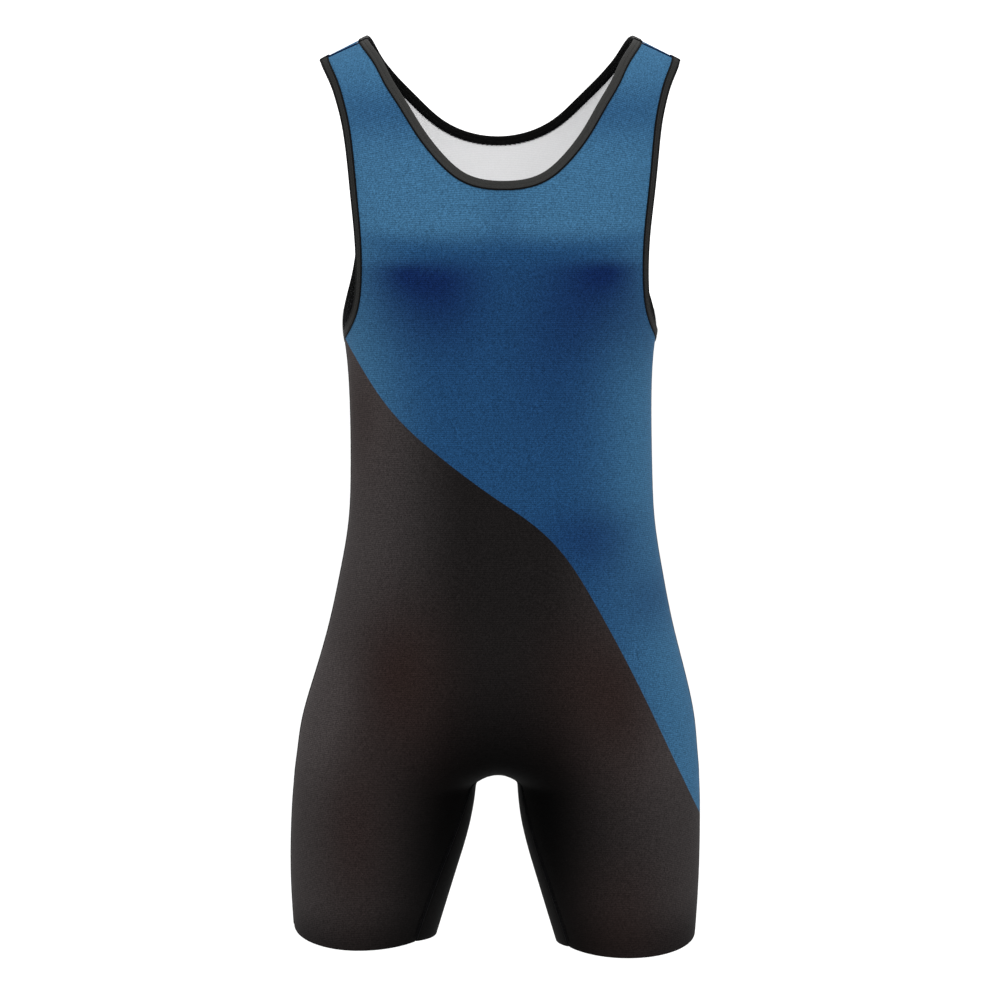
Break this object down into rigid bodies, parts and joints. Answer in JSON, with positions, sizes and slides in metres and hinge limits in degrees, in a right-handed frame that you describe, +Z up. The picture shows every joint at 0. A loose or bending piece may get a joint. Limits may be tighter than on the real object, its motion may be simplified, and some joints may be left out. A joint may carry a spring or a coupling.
{
  "type": "wrestling singlet",
  "caption": "One-piece wrestling singlet of printed stretch knit, filled out as worn, with bound neck and armholes and short legs.",
  "frame": {"origin": "midway between the two shoulder straps, where they sit on the shoulders", "axes": "+Z up, the front faces -Y, +X towards the wearer's left side"},
  "size_m": [0.391, 0.2366, 0.8635],
  "materials": {
    "printed_knit": "matt polyester and elastane knit, printed blue above and black below",
    "binding_knit": "matt charcoal elastic binding, folded over the edge"
  },
  "bodies": {
    "root": {"front_panel": "printed_knit", "back_panel": "printed_knit", "front_neck_binding": "binding_knit", "back_neck_binding": "binding_knit", "right_front_armhole_binding": "binding_knit", "left_front_armhole_binding": "binding_knit", "right_back_armhole_binding": "binding_knit", "left_back_armhole_binding": "binding_knit"}
  },
  "joints": []
}
